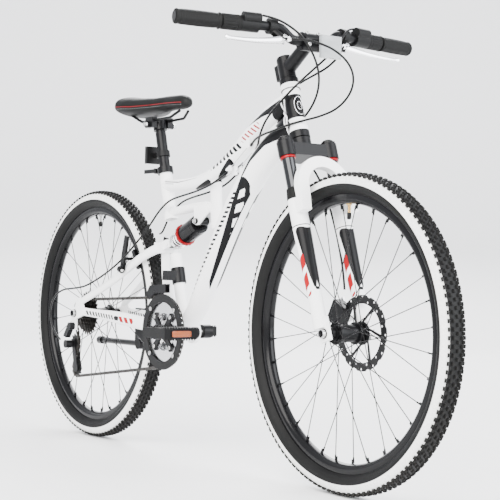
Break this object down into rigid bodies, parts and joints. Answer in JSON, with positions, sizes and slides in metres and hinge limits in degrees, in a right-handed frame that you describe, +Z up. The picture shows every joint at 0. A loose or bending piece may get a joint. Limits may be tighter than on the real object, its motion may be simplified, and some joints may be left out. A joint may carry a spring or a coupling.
{
  "type": "mountain bike",
  "caption": "Full-suspension mountain bike with a white aluminium frame, spoked wheels on knobbly tyres, a sprung fork and swingarm, derailleur gears, and a front disc and rear rim brake.",
  "frame": {"origin": "on the ground, midway between the two wheel centres, in the middle plane", "axes": "+X forward, +Y to the rider's left, +Z up"},
  "size_m": [1.75, 0.6492, 1.0063],
  "materials": {
    "white_paint": "gloss",
    "black_metal": "satin",
    "steel": "satin",
    "cable_black": "satin",
    "dark_chrome": "polished",
    "black_rubber": "matt",
    "black_plastic": "satin",
    "silver_metal": "polished",
    "clear_plastic": "clear moulded",
    "saddle_cover": "matt synthetic",
    "red_plastic": "clear red moulded",
    "chain_steel": "oiled",
    "tyre_black": "matt",
    "rim_black": "gloss",
    "spoke_black": "gloss",
    "rotor_black": "satin"
  },
  "bodies": {
    "frame": {"main_frame": "white_paint", "bearing_cups": "black_metal", "frame_clamps": "black_metal", "front_housings": "cable_black", "rear_housings": "cable_black"},
    "steering": {"fork_crown": "black_metal", "fork_stanchions": "dark_chrome", "stem": "black_metal", "handlebar": "black_metal", "handlebar_grips": "black_rubber", "control_pods": "black_plastic", "front_reflector": "clear_plastic"},
    "lowers": {"fork_lowers": "white_paint", "fork_dust_seals": "black_rubber", "front_axle": "steel", "disc_caliper": "black_metal", "front_brake_housing": "cable_black"},
    "caliper_lever": {"caliper_arm": "steel"},
    "front_wheel": {"front_tyre": "tyre_black", "front_rim": "rim_black", "front_spokes": "spoke_black", "front_hub": "black_metal", "brake_rotor": "rotor_black"},
    "right_lever": {"right_brake_lever": "silver_metal"},
    "left_lever": {"left_brake_lever": "silver_metal"},
    "right_twist": {"right_twist_grip": "black_rubber"},
    "left_twist": {"left_twist_grip": "black_rubber"},
    "seat": {"seatpost": "black_metal", "saddle_rails": "black_metal", "saddle": "saddle_cover", "rear_reflector": "red_plastic"},
    "seat_lever": {"seat_clamp_lever": "black_metal"},
    "shock_can": {"shock_body": "black_metal", "shock_spring": "silver_metal"},
    "shock_rod": {"shock_shaft": "dark_chrome"},
    "rear_arm": {"swingarm": "white_paint", "rear_axle": "steel", "kickstand_bracket": "black_metal", "rear_derailleur_body": "black_metal", "chain": "chain_steel"},
    "rear_wheel": {"rear_tyre": "tyre_black", "rear_rim": "rim_black", "rear_spokes": "spoke_black", "rear_hub": "black_metal"},
    "freewheel_cogs": {"freewheel": "chain_steel"},
    "crankset": {"chainrings": "silver_metal", "chain_guard": "black_plastic", "right_crank": "black_metal", "left_crank": "black_metal", "crank_spindles": "steel"},
    "right_pedal_body": {"right_pedal": "black_plastic"},
    "left_pedal_body": {"left_pedal": "black_plastic"},
    "gear_knuckle": {"derailleur_knuckle": "black_metal"},
    "gear_cage": {"derailleur_cage": "black_metal"},
    "upper_pulley": {"guide_pulley": "black_plastic"},
    "lower_pulley": {"tension_pulley": "black_plastic"},
    "front_gear_cage": {"front_derailleur_cage": "black_metal"},
    "left_brake_arm": {"left_v_brake_arm": "black_metal"},
    "right_brake_arm": {"right_v_brake_arm": "black_metal"},
    "kickstand": {"kickstand_leg": "black_metal"}
  },
  "joints": [
    {"name": "steering", "type": "hinge", "parent": "frame", "child": "steering", "pos_m": [0.34285, 0, 0.81683], "axis": [-0.3338, 0, 0.9426], "range_deg": [-50, 50], "deforming": ["front_housings"]},
    {"name": "fork_travel", "type": "slide", "parent": "steering", "child": "lowers", "axis": [-0.3338, 0, 0.9426], "range_m": [0, 0.05], "stiffness_N_per_m": 9000, "springref_m": -0.006, "deforming": ["front_brake_housing"]},
    {"name": "front_wheel_spin", "type": "hinge", "parent": "lowers", "child": "front_wheel", "pos_m": [0.54, 0, 0.335], "axis": [0, 1, 0], "continuous": true},
    {"name": "caliper_lever_pull", "type": "hinge", "parent": "lowers", "child": "caliper_lever", "pos_m": [0.46848, 0.0528, 0.37303], "axis": [0, 1, 0], "range_deg": [-1, 26]},
    {"name": "right_brake_lever", "type": "hinge", "parent": "steering", "child": "right_lever", "pos_m": [0.412, -0.084, 0.952], "axis": [-0.6623, 0.0387, -0.7483], "range_deg": [0, 13], "stiffness_Nm_per_rad": 2, "springref_deg": -5.73},
    {"name": "left_brake_lever", "type": "hinge", "parent": "steering", "child": "left_lever", "pos_m": [0.412, 0.084, 0.952], "axis": [0.6623, 0.0387, 0.7483], "range_deg": [0, 13], "stiffness_Nm_per_rad": 2, "springref_deg": -5.73},
    {"name": "right_twist_shift", "type": "hinge", "parent": "steering", "child": "right_twist", "pos_m": [0.3707, -0.19, 0.98247], "axis": [-0.1585, -0.9874, 0.0041], "range_deg": [-40, 80]},
    {"name": "left_twist_shift", "type": "hinge", "parent": "steering", "child": "left_twist", "pos_m": [0.3707, 0.19, 0.98247], "axis": [-0.1585, 0.9874, 0.0041], "range_deg": [0, 80]},
    {"name": "seatpost_height", "type": "slide", "parent": "frame", "child": "seat", "axis": [-0.2672, 0, 0.9636], "range_m": [-0.012, 0.07]},
    {"name": "seat_quick_release", "type": "hinge", "parent": "frame", "child": "seat_lever", "pos_m": [-0.23, -0.012, 0.708], "axis": [0, 1, 0], "range_deg": [-100, 0]},
    {"name": "swingarm_pivot", "type": "hinge", "parent": "frame", "child": "rear_arm", "pos_m": [-0.104, 0, 0.306], "axis": [0, 1, 0], "range_deg": [0, 5], "stiffness_Nm_per_rad": 2600, "springref_deg": -2.86, "deforming": ["rear_housings", "chain"]},
    {"name": "shock_can_pivot", "type": "hinge", "parent": "frame", "child": "shock_can", "pos_m": [-0.022, 0, 0.577], "axis": [0, 1, 0], "range_deg": [-2.4, 0.1]},
    {"name": "shock_stroke", "type": "slide", "parent": "shock_can", "child": "shock_rod", "axis": [0.9231, 0, 0.3846], "range_m": [-0.001, 0.0195], "deforming": ["shock_spring"]},
    {"name": "rear_wheel_spin", "type": "hinge", "parent": "rear_arm", "child": "rear_wheel", "pos_m": [-0.54, 0, 0.335], "axis": [0, 1, 0], "continuous": true},
    {"name": "freewheel_spin", "type": "hinge", "parent": "rear_arm", "child": "freewheel_cogs", "pos_m": [-0.54, 0, 0.335], "axis": [0, 1, 0], "continuous": true},
    {"name": "crank_spin", "type": "hinge", "parent": "frame", "child": "crankset", "pos_m": [-0.104, 0, 0.306], "axis": [0, 1, 0], "continuous": true},
    {"name": "right_pedal_spin", "type": "hinge", "parent": "crankset", "child": "right_pedal_body", "pos_m": [0.06585, -0.138, 0.31312], "axis": [0, 1, 0], "continuous": true},
    {"name": "left_pedal_spin", "type": "hinge", "parent": "crankset", "child": "left_pedal_body", "pos_m": [-0.27385, 0.138, 0.29888], "axis": [0, 1, 0], "continuous": true},
    {"name": "rear_gear_shift", "type": "slide", "parent": "rear_arm", "child": "gear_knuckle", "axis": [0, 1, 0], "range_m": [-0.0101, 0.0201]},
    {"name": "gear_cage_tension", "type": "hinge", "parent": "gear_knuckle", "child": "gear_cage", "pos_m": [-0.576, -0.068, 0.25], "axis": [0, 1, 0], "range_deg": [-4, 12], "stiffness_Nm_per_rad": 1.2},
    {"name": "guide_pulley_spin", "type": "hinge", "parent": "gear_cage", "child": "upper_pulley", "pos_m": [-0.572, -0.053, 0.253], "axis": [0, 1, 0], "continuous": true},
    {"name": "tension_pulley_spin", "type": "hinge", "parent": "gear_cage", "child": "lower_pulley", "pos_m": [-0.556, -0.053, 0.186], "axis": [0, 1, 0], "continuous": true},
    {"name": "front_gear_shift", "type": "slide", "parent": "frame", "child": "front_gear_cage", "axis": [0, 1, 0], "range_m": [-0.0001, 0.0111]},
    {"name": "left_brake_arm_pull", "type": "hinge", "parent": "rear_arm", "child": "left_brake_arm", "pos_m": [-0.314, 0.0608, 0.456], "axis": [0.9569, 0, -0.2903], "range_deg": [-0.5, 2.8]},
    {"name": "right_brake_arm_pull", "type": "hinge", "parent": "rear_arm", "child": "right_brake_arm", "pos_m": [-0.314, -0.0608, 0.456], "axis": [0.9569, 0, -0.2903], "range_deg": [-2.8, 0.5]},
    {"name": "kickstand_fold", "type": "hinge", "parent": "rear_arm", "child": "kickstand", "pos_m": [-0.44, 0.087, 0.255], "axis": [0, 1, 0], "range_deg": [-68, 0]}
  ],
  "couplings": [
    {"joint": "caliper_lever_pull", "follows": "left_brake_lever", "ratio": 1.8},
    {"joint": "shock_can_pivot", "follows": "swingarm_pivot", "ratio": -0.459},
    {"joint": "shock_stroke", "follows": "swingarm_pivot", "m_per_rad": 0.2141},
    {"joint": "freewheel_spin", "follows": "crank_spin", "ratio": 2.3333},
    {"joint": "guide_pulley_spin", "follows": "crank_spin", "ratio": -3.8182},
    {"joint": "tension_pulley_spin", "follows": "crank_spin", "ratio": 3.8182},
    {"joint": "rear_gear_shift", "follows": "right_twist_shift", "m_per_rad": 0.01432},
    {"joint": "front_gear_shift", "follows": "left_twist_shift", "m_per_rad": 0.00788},
    {"joint": "left_brake_arm_pull", "follows": "right_brake_lever", "ratio": 0.12},
    {"joint": "right_brake_arm_pull", "follows": "right_brake_lever", "ratio": -0.12}
  ]
}
